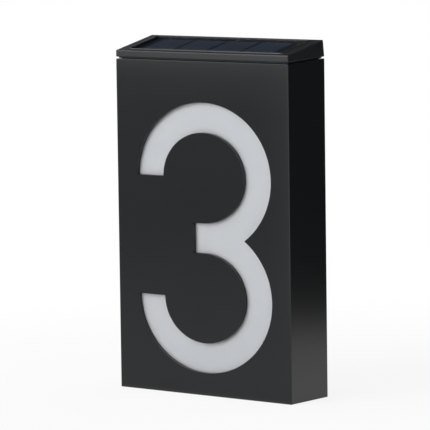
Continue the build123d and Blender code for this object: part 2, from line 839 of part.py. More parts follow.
with BuildPart() as tray_screws:
    with Locations(*[Plane((x, y, screw_seat_z), z_dir=(0, 0, -1)) for x, y in post_places]):
        add(
            pan_screw(
                screw_shank_radius - thread_clearance,
                screw_tip_z - screw_seat_z - screw_tip_gap,
                screw_head_radius,
                screw_head_height,
            )
        )
save(tray_screws, "tray_screws")

# ---- battery, its contacts and its door -----------------------------------------------
bay_axis = (bay_centre_y, battery_z)

with BuildPart() as battery_cell:
    with BuildSketch(Plane.YZ.offset(battery_x0)):
        with Locations(bay_axis):
            Circle(battery_radius)
    extrude(amount=battery_length)
    chamfer(battery_cell.edges(), battery_chamfer)
    with BuildSketch(Plane.YZ.offset(battery_x1)):
        with Locations(bay_axis):
            Circle(nub_radius)
    extrude(amount=nub_length)
    chamfer(battery_cell.faces().sort_by(Axis.X)[-1].edges(), nub_chamfer)
save(battery_cell, "battery_cell")


def contact_plate(x0, tag_y):
    """Sheet contact across the end of the bay, with a tag through the bay's roof."""
    with BuildPart() as plate:
        with BuildSketch(Plane.YZ.offset(x0)):
            with Locations(bay_axis):
                Circle(contact_radius)
            with Locations((tag_y, battery_z)):
                Rectangle(tag_width, tag_top - battery_z, align=(Align.CENTER, Align.MIN))
        extrude(amount=contact_thickness)
    return plate


spring_plate = contact_plate(bay_x0, negative_y)
save(spring_plate, "spring_plate")
positive_contact = contact_plate(nub_x, positive_y)
save(positive_contact, "positive_contact")

spring_height = spring_length - 2 * spring_wire_radius
spring_start = Plane(
    origin=(spring_x + spring_wire_radius, bay_centre_y, battery_z),
    x_dir=(0, 1, 0),
    z_dir=(1, 0, 0),
)
spring_half_angle = atan2(spring_big_radius - spring_small_radius, spring_height)
with BuildPart() as battery_spring:
    with BuildLine() as coil:
        Helix(
            pitch=spring_height / spring_turns,
            height=spring_height,
            radius=spring_big_radius,
            center=spring_start.origin,
            direction=spring_start.z_dir,
            cone_angle=-degrees(spring_half_angle),
        )
    with BuildSketch(Plane(coil.line @ 0, z_dir=coil.line % 0)):
        RegularPolygon(spring_wire_radius, spring_wire_sides)
    sweep(path=coil.line, is_frenet=True)
save(battery_spring, "battery_spring")

door_x0 = bay_x0 - bay_wall
door_x1 = bay_x1 + bay_wall
with BuildPart() as battery_door:
    with BuildSketch(Plane.XY.offset(door_bottom)):
        with Locations(((door_x0 + door_x1) / 2, bay_centre_y)):
            RectangleRounded(door_x1 - door_x0, 2 * door_half, door_corner_radius)
    extrude(amount=door_thickness)
    # thumb ridges
    with BuildSketch(Plane.XZ.offset(-bay_centre_y)):
        with Locations((door_x0 + ridge_start, door_bottom)):
            with GridLocations(ridge_pitch, 0, ridge_count, 1):
                Circle(ridge_radius)
    extrude(amount=ridge_length / 2, both=True)
    # slot round the latch tongue
    with BuildSketch(Plane.XY.offset(door_bottom)):
        with Locations((door_x1 - tongue_length, bay_centre_y)):
            Rectangle(tongue_length, tongue_width, align=(Align.MIN, Align.CENTER))
            tongue_y = tongue_width - 2 * tongue_slot
            Rectangle(tongue_length, tongue_y, align=(Align.MIN, Align.CENTER), mode=Mode.SUBTRACT)
    extrude(amount=door_thickness, mode=Mode.SUBTRACT)
save(battery_door, "battery_door")

# ---- lamps ----------------------------------------------------------------------------
with BuildPart() as led_board:
    with BuildSketch(Plane.XY.offset(floor_top)):
        with Locations((0, lamp_y)):
            Rectangle(led_board_length, led_board_width)
    extrude(amount=led_board_thickness)
save(led_board, "led_board")

with BuildPart() as led_lamps:
    with BuildSketch(Plane.XY.offset(floor_top)):
        with Locations((0, lamp_y)):
            with GridLocations(lamp_pitch, 0, lamp_count, 1):
                Rectangle(lamp_length, lamp_width)
    extrude(amount=-lamp_height)
    chamfer(led_lamps.faces().group_by(Axis.Z)[0].edges(), lamp_chamfer)
save(led_lamps, "led_lamps")

with BuildPart() as led_window:
    with BuildSketch(Plane.XY.offset(floor_z + window_recess)):
        with Locations((0, lamp_y)):
            window_length = rebate_length - 2 * window_clearance
            window_width = rebate_width - 2 * window_clearance
            Rectangle(window_length, window_width)
    extrude(amount=window_thickness)
save(led_window, "led_window")

# ---- control board and switch ---------------------------------------------------------
with BuildPart() as control_board:
    with BuildSketch(Plane.XY.offset(board_z)):
        with Locations((board_mid_x, board_mid_y)):
            Rectangle(board_length, board_width)
            with GridLocations(standoff_span_x, standoff_span_y, 2, 2):
                Circle(board_screw_radius + screw_clearance, mode=Mode.SUBTRACT)
    extrude(amount=board_thickness)
save(control_board, "control_board")

with BuildPart() as board_screws:
    with Locations((board_mid_x, board_mid_y, board_top)):
        with GridLocations(standoff_span_x, standoff_span_y, 2, 2):
            add(
                pan_screw(
                    board_screw_radius - thread_clearance,
                    board_thickness + board_screw_bite,
                    board_screw_head,
                    board_screw_head_height,
                )
            )
save(board_screws, "board_screws")

with BuildPart() as control_chip:
    with BuildSketch(Plane.XY.offset(board_top + chip_lift)):
        with Locations((chip_x, chip_y)):
            Rectangle(chip_length, chip_width)
    extrude(amount=chip_height)
    chamfer(control_chip.faces().sort_by(Axis.Z)[-1].edges(), chip_chamfer)
    with BuildSketch(Plane.XY.offset(board_top)):
        with Locations((chip_x, chip_y)):
            with GridLocations(chip_leg_pitch, 0, chip_legs, 1):
                Rectangle(chip_leg_width, chip_width + 2 * chip_leg_reach)
    extrude(amount=chip_leg_thickness)
save(control_chip, "control_chip")

with BuildPart() as inductor:
    with BuildSketch(Plane.XZ.offset(-inductor_y)):
        with BuildLine():
            Polyline(
                (inductor_x, board_top),
                (inductor_x + inductor_radius, board_top),
                (inductor_x + inductor_radius, board_top + inductor_flange),
                (inductor_x + inductor_core, board_top + inductor_flange),
                (inductor_x + inductor_core, board_top + inductor_height - inductor_flange),
                (inductor_x + inductor_radius, board_top + inductor_height - inductor_flange),
                (inductor_x + inductor_radius, board_top + inductor_height),
                (inductor_x, board_top + inductor_height),
                close=True,
            )
        make_face()
    revolve(axis=Axis((inductor_x, inductor_y, 0), (0, 0, 1)))
save(inductor, "inductor")

with BuildPart() as capacitor:
    with BuildSketch(Plane.XY.offset(board_top)):
        with Locations((capacitor_x, capacitor_y)):
            Circle(capacitor_radius)
    extrude(amount=capacitor_height)
    chamfer(capacitor.faces().sort_by(Axis.Z)[-1].edges(), capacitor_chamfer)
save(capacitor, "capacitor")

# Each socket takes a pair of wires. The battery's pair lies along Y, the others along X.
socket_top = board_top + socket_height
battery_socket_x = board_x0 + battery_socket_share * board_length
solar_socket = (board_x0 + solar_socket_share * board_length, board_mid_y)
led_socket = (board_x0 + led_socket_share * board_length, board_front_y + led_socket_inset)
with BuildPart() as lead_sockets:
    with BuildSketch(Plane.XY.offset(board_top)):
        with Locations((battery_socket_x, bay_centre_y)):
            Rectangle(socket_width, socket_length)
        with Locations(solar_socket, led_socket):
            Rectangle(socket_length, socket_width)
    extrude(amount=socket_height)
    chamfer(lead_sockets.faces().group_by(Axis.Z)[-1].edges(), socket_chamfer)
save(lead_sockets, "lead_sockets")

case_bottom = floor_top + switch_lift
head_length = knob_length + 2 * knob_shoulder
head_width = knob_width + knob_shoulder
head_top = case_bottom + knob_head_height
with BuildPart() as switch_case:
    with BuildSketch(Plane.XY.offset(case_bottom)):
        with Locations((switch_x, switch_y)):
            Rectangle(switch_length, switch_width)
    extrude(amount=board_z - case_bottom)
    with BuildSketch(Plane.XY.offset(case_bottom)):
        with Locations((switch_x, switch_y)):
            Rectangle(head_length + switch_travel + 2 * switch_clearance, head_width + switch_clearance)
    extrude(amount=knob_head_height + switch_clearance, mode=Mode.SUBTRACT)
save(switch_case, "switch_case")

with BuildPart() as switch_slider:
    knob_x = switch_x + switch_travel / 2
    with BuildSketch(Plane.XY.offset(floor_z - knob_drop)):
        with Locations((knob_x, switch_y)):
            Rectangle(knob_length, knob_width)
    extrude(amount=head_top - floor_z + knob_drop)
    chamfer(switch_slider.faces().sort_by(Axis.Z)[0].edges(), knob_chamfer)
    with BuildSketch(Plane.XY.offset(case_bottom)):
        with Locations((knob_x, switch_y)):
            Rectangle(head_length, head_width)
    extrude(amount=knob_head_height)
save(switch_slider, "switch_slider")

# ---- wires inside the module ------------------------------------------------------------


def wire(points):
    """Round wire along a route whose corners are arcs."""
    with BuildPart() as lead:
        with BuildLine() as route:
            FilletPolyline(*points, radius=wire_bend)
        with BuildSketch(Plane(route.line @ 0, z_dir=route.line % 0)):
            RegularPolygon(wire_radius, wire_sides)
        sweep(path=route.line)
    return lead.part


wire_z = roof_z + (tag_rise + wire_radius) / 2
turn_z = socket_top + wire_rise

with BuildPart() as battery_leads:
    for start_x, y in ((bay_x0 + contact_thickness, negative_y), (bay_x1, positive_y)):
        add(wire([(start_x, y, wire_z), (battery_socket_x, y, wire_z), (battery_socket_x, y, socket_top)]))
save(battery_leads, "battery_leads")

with BuildPart() as solar_leads:
    for side in (-1, 1):
        x = solar_socket[0] + side * wire_pitch / 2
        start = cap_top_plane.from_local_coords(Vector(x, panel_centre_s, -panel_seal_depth))
        knee = cap_top_plane.from_local_coords(Vector(x, panel_centre_s, -panel_seal_depth - wire_rise))
        end_y = solar_socket[1]
        add(wire([start, knee, (x, end_y, turn_z), (x, end_y, socket_top)]))
save(solar_leads, "solar_leads")

with BuildPart() as led_leads:
    for side in (-1, 1):
        x = led_socket[0] + side * wire_pitch / 2
        end_y = led_socket[1]
        foot_z = floor_top + led_board_thickness
        route = [(x, lamp_y, foot_z), (x, lamp_y, turn_z), (x, end_y, turn_z), (x, end_y, socket_top)]
        add(wire(route))
save(led_leads, "led_leads")

# ---- wall plate -------------------------------------------------------------------------
plate_x = inner_x - plate_gap
plate_z0 = bottom_wall + plate_gap
plate_z1 = rail_bottom - plate_gap
plate_height = plate_z1 - plate_z0
foot_flange = base_screw_inset + nut_radius + plate_thickness
foot_length = base_screw_spacing + 2 * foot_margin
hook_y = inner_rear - hook_gap

with BuildPart() as wall_plate:
    with BuildSketch(Plane.XY.offset(plate_z0)):
        with Locations((0, y_rear)):
            Rectangle(2 * plate_x, plate_flange, align=(Align.CENTER, Align.MAX))
        with Locations((0, y_rear - plate_thickness)):
            inside_x = 2 * (plate_x - plate_thickness)
            Rectangle(inside_x, plate_flange, align=(Align.CENTER, Align.MAX), mode=Mode.SUBTRACT)
    extrude(amount=plate_height)
    bends = wall_plate.edges().filter_by(Axis.Z).group_by(Axis.Y)[-1]
    fillet(bends, bend_radius)
    with BuildSketch(Plane.XY.offset(plate_z0)):
        with Locations((0, y_rear)):
            Rectangle(foot_length, foot_flange, align=(Align.CENTER, Align.MAX))
    extrude(amount=plate_thickness)

    # hooks behind the housing's rear rail
    for side in (-1, 1):
        with BuildSketch(Plane.YZ.offset(side * hook_spacing / 2)):
            with BuildLine():
                Polyline(
                    (y_rear - plate_thickness, plate_z1),
                    (y_rear - plate_thickness, plate_z1 - plate_thickness),
                    (hook_y - plate_thickness, plate_z1 - plate_thickness),
                    (hook_y - plate_thickness, plate_z1 + hook_rise),
                    (hook_y, plate_z1 + hook_rise),
                    (hook_y, plate_z1),
                    close=True,
                )
            make_face()
        extrude(amount=hook_width / 2, both=True)

    # pressed stiffening beads, raised inside and hollow behind
    with BuildSketch(Plane.XZ.offset(plate_thickness - y_rear)):
        with Locations((0, wall_hole_centre_z)):
            with GridLocations(0, bead_pitch, 1, bead_count):
                SlotOverall(bead_length, 2 * bead_radius)
    extrude(amount=bead_depth)
    with BuildSketch(Plane.XZ.offset(-y_rear)):
        with Locations((0, wall_hole_centre_z)):
            with GridLocations(0, bead_pitch, 1, bead_count):
                SlotOverall(bead_length - bead_depth, 2 * bead_radius - bead_depth)
    extrude(amount=bead_depth, mode=Mode.SUBTRACT)

    # holes for the wall screws, and for the screws from the base
    with BuildSketch(Plane.XZ.offset(-y_rear)):
        with Locations((0, wall_hole_centre_z)):
            with GridLocations(wall_hole_spacing_x, wall_hole_spacing_z, 2, 2):
                Circle(wall_hole_radius)
    extrude(amount=plate_thickness, mode=Mode.SUBTRACT)
    with BuildSketch(Plane.XY.offset(plate_z0)):
        with Locations((0, base_screw_y)):
            with GridLocations(base_screw_spacing, 0, 2, 1):
                Circle(base_screw_radius + screw_clearance)
    extrude(amount=plate_thickness, mode=Mode.SUBTRACT)
save(wall_plate, "wall_plate")

with BuildPart() as clinch_nuts:
    with BuildSketch(Plane.XY.offset(plate_z0 + plate_thickness)):
        with Locations((0, base_screw_y)):
            with GridLocations(base_screw_spacing, 0, 2, 1):
                Circle(nut_radius)
                Circle(base_screw_radius, mode=Mode.SUBTRACT)
    extrude(amount=nut_height)
save(clinch_nuts, "clinch_nuts")

sink_height = (base_screw_head_radius - base_screw_radius) / tan(radians(countersink_angle / 2))
with BuildPart() as base_screw:
    with BuildSketch(Plane.XZ):
        with BuildLine():
            Polyline(
                (0, screw_clearance),
                (base_screw_head_radius, screw_clearance),
                (base_screw_radius - thread_clearance, screw_clearance + sink_height),
                (base_screw_radius - thread_clearance, base_screw_length),
                (0, base_screw_length),
                close=True,
            )
        make_face()
    revolve(axis=Axis.Z)
    with BuildSketch(Plane.XY.offset(screw_clearance)):
        Rectangle(cross_recess_length, cross_recess_width)
        Rectangle(cross_recess_width, cross_recess_length)
    extrude(amount=sink_height, mode=Mode.SUBTRACT)

with BuildPart() as housing_screws:
    with Locations((0, base_screw_y, 0)):
        with GridLocations(base_screw_spacing, 0, 2, 1):
            add(base_screw.part)
save(housing_screws, "housing_screws")
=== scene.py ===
from math import cos, pi, radians, sin

import bmesh
import bpy
from mathutils import Matrix, Vector


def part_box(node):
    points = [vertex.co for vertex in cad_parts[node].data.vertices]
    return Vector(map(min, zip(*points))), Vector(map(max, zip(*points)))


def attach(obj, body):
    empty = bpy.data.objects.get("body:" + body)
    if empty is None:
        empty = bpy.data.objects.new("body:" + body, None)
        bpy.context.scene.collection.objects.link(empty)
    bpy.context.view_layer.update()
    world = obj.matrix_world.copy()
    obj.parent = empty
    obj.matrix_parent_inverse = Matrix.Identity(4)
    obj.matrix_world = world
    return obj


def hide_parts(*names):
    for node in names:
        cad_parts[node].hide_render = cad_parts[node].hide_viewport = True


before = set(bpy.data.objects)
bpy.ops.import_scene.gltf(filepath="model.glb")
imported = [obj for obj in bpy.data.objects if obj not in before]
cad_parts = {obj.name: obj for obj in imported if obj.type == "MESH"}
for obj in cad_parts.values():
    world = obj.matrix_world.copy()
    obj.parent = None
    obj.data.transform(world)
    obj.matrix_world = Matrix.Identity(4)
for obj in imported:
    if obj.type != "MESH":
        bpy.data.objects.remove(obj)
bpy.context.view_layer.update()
scene = bpy.context.scene
scene.view_settings.view_transform = "Standard"
MM = 0.001

# ---- camera ---------------------------------------------------------------------------
IMAGE_SIDE = 430  # pixels of the square picture
FOCAL_PIXELS = 3517.0
CAMERA_YAW = 0.6642  # radians round to the numeral's right
CAMERA_PITCH = 0.1060
CAMERA_ROLL = -0.0134
CAMERA_DISTANCE = 2092.38  # mm from the front face
CAMERA_SHIFT_X = -7.43
CAMERA_SHIFT_Y = -8.55
FRONT_Y = -18.1  # mm, the housing's front face
AIM_HEIGHT = 100.0


def place_camera():
    """Camera that sees the object as the photograph does, from a long way off."""
    away = Vector(
        (
            sin(CAMERA_YAW) * cos(CAMERA_PITCH),
            -cos(CAMERA_YAW) * cos(CAMERA_PITCH),
            sin(CAMERA_PITCH),
        )
    )
    level = Vector((cos(CAMERA_YAW), sin(CAMERA_YAW), 0))
    upright = away.cross(level)
    right = level * cos(CAMERA_ROLL) + upright * sin(CAMERA_ROLL)
    up = upright * cos(CAMERA_ROLL) - level * sin(CAMERA_ROLL)
    aim = Vector((0, FRONT_Y, AIM_HEIGHT))
    place = aim + away * CAMERA_DISTANCE - right * CAMERA_SHIFT_X - up * CAMERA_SHIFT_Y
    data = bpy.data.cameras.new("camera")
    data.sensor_width = 36.0
    data.lens = FOCAL_PIXELS * data.sensor_width / IMAGE_SIDE
    data.clip_start = 0.05
    data.clip_end = 100.0
    camera = bpy.data.objects.new("camera", data)
    scene.collection.objects.link(camera)
    turn = Matrix((right, up, away)).transposed().to_4x4()
    camera.matrix_world = Matrix.Translation(place * MM) @ turn
    scene.camera = camera


place_camera()

# ---- shader helpers ---------------------------------------------------------------------


def linear(code):
    """Linear RGBA of an sRGB hex code."""
    shades = [int(code[i : i + 2], 16) / 255 for i in (1, 3, 5)]
    shades = [s / 12.92 if s <= 0.04045 else ((s + 0.055) / 1.055) ** 2.4 for s in shades]
    return (*shades, 1.0)


def add(tree, kind, inputs=None, **settings):
    """Adds a node. Settings name its attributes, and inputs its sockets.

    What an input gets is a value, or the socket that it comes from."""
    node = tree.nodes.new(kind)
    for name, value in settings.items():
        setattr(node, name, value)
    for name, value in (inputs or {}).items():
        if isinstance(value, bpy.types.NodeSocket):
            tree.links.new(value, node.inputs[name])
        else:
            node.inputs[name].default_value = value
    return node


# Sockets of a Mix node that blends colours
MIX_A, MIX_B, MIX_RESULT = 6, 7, 2
DRIFT_MM = 40.0  # across a patch of slightly lighter or darker plastic


def per_metre(millimetres):
    """Texture scale whose features are about this many millimetres across."""
    return 1 / (millimetres * MM)


def noise(tree, place, size_mm, detail=2.0):
    """Noise whose features are about this many millimetres across."""
    grain = {"Vector": place, "Scale": per_metre(size_mm), "Detail": detail}
    return add(tree, "ShaderNodeTexNoise", grain).outputs["Fac"]


def blend(tree, factor, first, second):
    """Mix of two colours, each a value or a socket."""
    shade = {"Factor": factor, MIX_A: first, MIX_B: second}
    return add(tree, "ShaderNodeMix", shade, data_type="RGBA").outputs[MIX_RESULT]


def maths(tree, operation, first, second):
    """What a Math node makes of two values or sockets."""
    node = add(tree, "ShaderNodeMath", {0: first, 1: second}, operation=operation)
    return node.outputs["Value"]


def eased(tree, value, start, end, low, high):
    """Number that goes smoothly from low to high while the value goes from start to end."""
    ends = {"Value": value, "From Min": start, "From Max": end, "To Min": low, "To Max": high}
    node = add(tree, "ShaderNodeMapRange", ends, interpolation_type="SMOOTHSTEP")
    return node.outputs["Result"]


def relief(tree, height, depth_mm):
    """Bump node that raises the skin by up to depth_mm."""
    return add(tree, "ShaderNodeBump", {"Height": height, "Distance": depth_mm * MM})


def show(tree, shader):
    """Ends a material's tree in a shader's socket."""
    add(tree, "ShaderNodeOutputMaterial", {"Surface": shader})


def surface(tree, colour, skin, roughness, **more):
    """Ends a material's tree in an ordinary surface with a skin from relief.

    What more names are sockets of the shader, with _ for a space."""
    finish = {"Base Color": colour, "Normal": skin.outputs["Normal"], "Roughness": roughness}
    finish.update({socket.replace("_", " "): value for socket, value in more.items()})
    show(tree, add(tree, "ShaderNodeBsdfPrincipled", finish).outputs["BSDF"])


def blank(name):
    """Empty material, its tree, and its Object coordinates."""
    material = bpy.data.materials.new(name)
    material.use_nodes = True
    tree = material.node_tree
    tree.nodes.clear()
    return material, tree, add(tree, "ShaderNodeTexCoord").outputs["Object"]


def moulded(
    name, dark, light, roughness, grain_mm=0.9, grain_depth_mm=0.02, edge_mm=0.0, **more
):
    """Moulded plastic or rubber: a shade that drifts slightly, under an even fine grain.

    A value for edge_mm shades sharp edges as if they were rounded by that much. What more
    names goes to the surface."""
    material, tree, place = blank(name)
    colour = blend(tree, noise(tree, place, DRIFT_MM), linear(dark), linear(light))
    skin = relief(tree, noise(tree, place, grain_mm, detail=3.0), grain_depth_mm)
    if edge_mm:
        edges = add(tree, "ShaderNodeBevel", {"Radius": edge_mm * MM}, samples=8)
        tree.links.new(edges.outputs["Normal"], skin.inputs["Normal"])
    surface(tree, colour, skin, roughness, **more)
    return material


# How a metal's pattern is squeezed along X, Y and Z
LINES_ALONG_X = (1.0, 40.0, 40.0)
LINES_ROUND_Z = (1.0, 1.0, 40.0)
MOTTLED = (1.0, 1.0, 1.0)


def worked_metal(name, dark, light, roughness, squeeze, pattern_mm, depth_mm=0.004):
    """Metal with the fine lines that rolling or drawing leaves, or the mottle of plating."""
    material, tree, place = blank(name)
    along = add(tree, "ShaderNodeMapping", {"Vector": place, "Scale": squeeze}).outputs["Vector"]
    marks = noise(tree, along, pattern_mm, detail=4.0)
    colour = blend(tree, marks, linear(dark), linear(light))
    surface(tree, colour, relief(tree, marks, depth_mm), roughness, Metallic=1.0)
    return material


# ---- materials --------------------------------------------------------------------------
# Moulded ABS, anthracite: nearly black in itself, and grey where its satin skin catches the
# light. The real spark-eroded grain is about 0.1 mm, drawn at 0.9 mm so that it shows.
HOUSING_ABS = moulded("moulded_abs_anthracite", "#18191b", "#1d1e20", 0.23, IOR=1.5)
# The cap's ABS is the same resin from a more polished tool. All its edges are shaded 0.5 mm
# round, over fillets of 0.15 to 0.5 mm, because in the photograph they catch broad lines of light.
CAP_ABS = moulded("moulded_abs_cap", "#232528", "#292b2f", 0.25, edge_mm=0.5, IOR=1.5)
# Inner mouldings are left as they come from the tool: dull, with a coarser grain.
TRAY_ABS = moulded("moulded_abs_tray", "#1c1d1e", "#222324", 0.50, IOR=1.52)
FRAME_ABS = moulded("moulded_abs_frame", "#17181a", "#1d1e20", 0.55, IOR=1.52)
# Acetal, moulded: slightly waxy, blacker than the ABS round it.
KNOB_POM = moulded("moulded_acetal_knob", "#101011", "#171718", 0.38, grain_mm=0.5)
# Opal PMMA, cast: white and slightly blue, its satin face spreads the light, and a little of
# it goes in and comes out beside where it entered.
OPAL_PMMA = moulded(
    "opal_pmma_cast",
    "#c9ccd1",
    "#ced1d5",
    0.42,
    grain_mm=0.6,
    grain_depth_mm=0.006,
    IOR=1.49,
    Subsurface_Weight=0.85,
    Subsurface_Radius=(0.0052, 0.0053, 0.0055),
    Subsurface_Scale=1.0,
)
# White polyester film, filled with tiny voids: matt and very white.
REFLECTOR_FILM = moulded(
    "white_polyester_film", "#e2e3e2", "#ebebe9", 0.5, grain_mm=1.5, grain_depth_mm=0.004
)
# Clear mouldings: light goes through, with a trace of flow in the surface.
CLEAR_PMMA = moulded(
    "clear_pmma_moulded",
    "#f2f7f6",
    "#ffffff",
    0.05,
    grain_mm=8.0,
    grain_depth_mm=0.004,
    IOR=1.49,
    Transmission_Weight=1.0,
)
CLEAR_PC = moulded(
    "clear_polycarbonate_moulded",
    "#f4f6f6",
    "#ffffff",
    0.08,
    grain_mm=8.0,
    grain_depth_mm=0.004,
    IOR=1.58,
    Transmission_Weight=1.0,
)
# Silicone rubber, moulded: black and dull.
SILICONE = moulded("silicone_rubber_moulded", "#101011", "#161617", 0.62, grain_mm=0.7)
# Glass-fibre laminate with a blue-black solder mask. The clear resin that covers it takes nearly
# all of its gloss.
LAMINATE = moulded(
    "glass_fibre_laminate", "#181c23", "#1e232c", 0.5, grain_mm=0.5, Specular_IOR_Level=0.12
)
# Stainless sheet, cold rolled: fine lines along the sheet.
STAINLESS = worked_metal("stainless_sheet_rolled", "#8b8c8e", "#a3a4a6", 0.34, LINES_ALONG_X, 12.0)
# Steel screws, zinc plated: bluish and slightly mottled.
ZINC = worked_metal("steel_zinc_plated", "#9da0a5", "#b4b6ba", 0.30, MOTTLED, 1.2, 0.01)
# Spring steel, nickel plated: warm, bright.
NICKEL = worked_metal(
    "spring_steel_nickel_plated", "#b5b1a6", "#c9c5ba", 0.22, MOTTLED, 1.5, 0.005
)
# Tinned steel, pressed: greyer than nickel and less sharp in its reflections.
TINNED = worked_metal("steel_tinned", "#a6a7a8", "#bcbdbe", 0.35, MOTTLED, 1.0, 0.01)
# Aluminium can, deep drawn: lines run round it.
CAN_ALUMINIUM = worked_metal("aluminium_can_drawn", "#b3b5b8", "#c8cacc", 0.28, LINES_ROUND_Z, 8.0)
# Enamelled copper wire, drawn: orange-brown under clear lacquer.
COPPER = worked_metal("copper_wire_enamelled", "#8f4a23", "#ad6033", 0.3, MOTTLED, 1.0, 0.005)
# Ferrite, pressed and sintered: dark grey-brown and matt.
FERRITE = moulded("ferrite_sintered", "#2b2a28", "#363431", 0.7, grain_mm=0.6)
# Moulded epoxy of a chip: black with a fine blast.
CHIP_EPOXY = moulded(
    "chip_epoxy_moulded", "#131314", "#19191a", 0.5, grain_mm=0.3, grain_depth_mm=0.01
)
# Natural nylon, moulded: cream and slightly greasy.
NYLON = moulded("nylon_moulded_natural", "#dad6c8", "#e6e2d6", 0.45, grain_mm=0.8)
# Silicone with phosphor powder: yellow over the lamp's blue die.
PHOSPHOR = moulded("phosphor_silicone_cast", "#d9bd4a", "#e6cd66", 0.35, grain_mm=0.3)
# White lamp body, moulded round its frame.
LAMP_PLASTIC = moulded("polyphthalamide_moulded_white", "#dcdcd6", "#e6e6e1", 0.4, grain_mm=0.4)
# Heat-shrunk PVC on the cell: green and glossy, with shallow ripples from the shrinking.
BATTERY_SLEEVE = moulded("pvc_sleeve_shrunk", "#1c5a34", "#25693f", 0.28, grain_mm=2.5, IOR=1.53)

TRACK_PITCH_MM = 3.2  # between a board's copper tracks
TRACK_START, TRACK_FULL = 0.36, 0.40  # shares of the pitch over which a track's edge rises


def circuit_board():
    """Green solder mask over copper tracks, which show as slightly lighter, raised bands."""
    material, tree, place = blank("solder_mask_green")
    squares = {"Vector": place, "Scale": per_metre(TRACK_PITCH_MM), "Randomness": 0.0}
    tracks = add(tree, "ShaderNodeTexVoronoi", squares, distance="CHEBYCHEV")
    band = {"Value": tracks.outputs["Distance"], "From Min": TRACK_START, "From Max": TRACK_FULL}
    edge = add(tree, "ShaderNodeMapRange", band).outputs["Result"]
    colour = blend(tree, edge, linear("#14502c"), linear("#1d6a3b"))
    skin = relief(tree, edge, depth_mm=0.03)
    surface(tree, colour, skin, roughness=0.32, Coat_Weight=0.3)
    return material


WIRE_BLACK, WIRE_RED = "#161414", "#a8231c"
WIRE_DULL = "#3a2a2a"  # where handling has dulled the skin
WIRE_WEAR_MM = 6.0  # across such a place


def wire_pair(name, axis, split_mm):
    """PVC insulation, extruded: one wire of a pair is red and the other black.

    Both are one mesh, so a place on an axis between them tells them apart."""
    material, tree, place = blank(name)
    parts = add(tree, "ShaderNodeSeparateXYZ", {"Vector": place})
    side = maths(tree, "GREATER_THAN", parts.outputs[axis], split_mm * MM)
    dye = blend(tree, side, linear(WIRE_BLACK), linear(WIRE_RED))
    wear = noise(tree, place, WIRE_WEAR_MM)
    colour = blend(tree, wear, dye, linear(WIRE_DULL))
    surface(tree, colour, relief(tree, wear, depth_mm=0.01), roughness=0.4)
    return material


FINGER_PITCH_MM = 1.9  # between a cell's printed silver lines
FINGER_WIDTH_MM = 0.10
COATING_DRIFT_MM = 14.0  # across a patch of slightly lighter or darker coating
ETCH_MM = 0.5  # across an etched pit. Real ones are a few thousandths, too fine to show


def silicon():
    """Monocrystalline silicon, etched and coated blue-black, with hair-thin silver fingers.

    The real fingers are 0.05 mm wide, drawn at 0.10 mm so that they show."""
    material, tree, place = blank("silicon_etched_coated")
    parts = add(tree, "ShaderNodeSeparateXYZ", {"Vector": place})
    wrap = {0: parts.outputs["X"], 1: FINGER_PITCH_MM * MM, 2: 0.0}
    phase = add(tree, "ShaderNodeMath", wrap, operation="WRAP").outputs["Value"]
    fingers = maths(tree, "LESS_THAN", phase, FINGER_WIDTH_MM * MM)
    drift = noise(tree, place, COATING_DRIFT_MM)
    body = blend(tree, drift, linear("#303b4b"), linear("#374355"))
    colour = blend(tree, fingers, body, linear("#525c6a"))
    etch = noise(tree, place, ETCH_MM, detail=3.0)
    surface(tree, colour, relief(tree, etch, depth_mm=0.008), roughness=0.38)
    return material


CIRCUIT_BOARD = circuit_board()
SOLAR_WIRES = wire_pair("pvc_insulation_solar", "X", 36.27)
LAMP_WIRES = wire_pair("pvc_insulation_lamps", "X", 44.15)
BATTERY_WIRES = wire_pair("pvc_insulation_battery", "Y", 0.0)
SILICON = silicon()
# Clear laminate over the cells: most light goes through it, and it keeps a soft gloss.
PANEL_FILM = moulded(
    "panel_laminate_clear",
    "#1c2026",
    "#23282f",
    0.18,
    grain_mm=1.2,
    grain_depth_mm=0.010,
    IOR=1.45,
    Alpha=0.20,
)

NODE_MATERIALS = {
    "housing": HOUSING_ABS,
    "cap_frame": CAP_ABS,
    "diffuser": OPAL_PMMA,
    "light_guide": CLEAR_PMMA,
    "reflector_sheet": REFLECTOR_FILM,
    "retaining_frame": FRAME_ABS,
    "retaining_screws": ZINC,
    "wall_plate": STAINLESS,
    "clinch_nuts": ZINC,
    "housing_screws": STAINLESS,
    "solar_cover": PANEL_FILM,
    "solar_cells": SILICON,
    "solar_backing": LAMINATE,
    "panel_seal": SILICONE,
    "tray_gasket": SILICONE,
    "plug_seal": SILICONE,
    "module_tray": TRAY_ABS,
    "tray_screws": ZINC,
    "battery_cell": BATTERY_SLEEVE,
    "battery_spring": NICKEL,
    "spring_plate": NICKEL,
    "positive_contact": NICKEL,
    "battery_door": TRAY_ABS,
    "control_board": CIRCUIT_BOARD,
    "board_screws": ZINC,
    "control_chip": CHIP_EPOXY,
    "inductor": FERRITE,
    "capacitor": CAN_ALUMINIUM,
    "lead_sockets": NYLON,
    "switch_case": TINNED,
    "switch_slider": KNOB_POM,
    "led_board": CIRCUIT_BOARD,
    "led_lamps": LAMP_PLASTIC,
    "led_window": CLEAR_PC,
    "solar_leads": SOLAR_WIRES,
    "battery_leads": BATTERY_WIRES,
    "led_leads": LAMP_WIRES,
}
for node_name, node_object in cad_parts.items():
    for material_slot in node_object.material_slots:
        material_slot.material = NODE_MATERIALS[node_name]

# ---- piece helpers ----------------------------------------------------------------------
MERGE_DISTANCE = 1e-6  # metres


def make_piece(name, mesh, material, body):
    """Object at the origin from a mesh in place, riding on a body."""
    mesh.materials.clear()
    mesh.materials.append(material)
    piece = bpy.data.objects.new(name, mesh)
    scene.collection.objects.link(piece)
    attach(piece, body)
    return piece


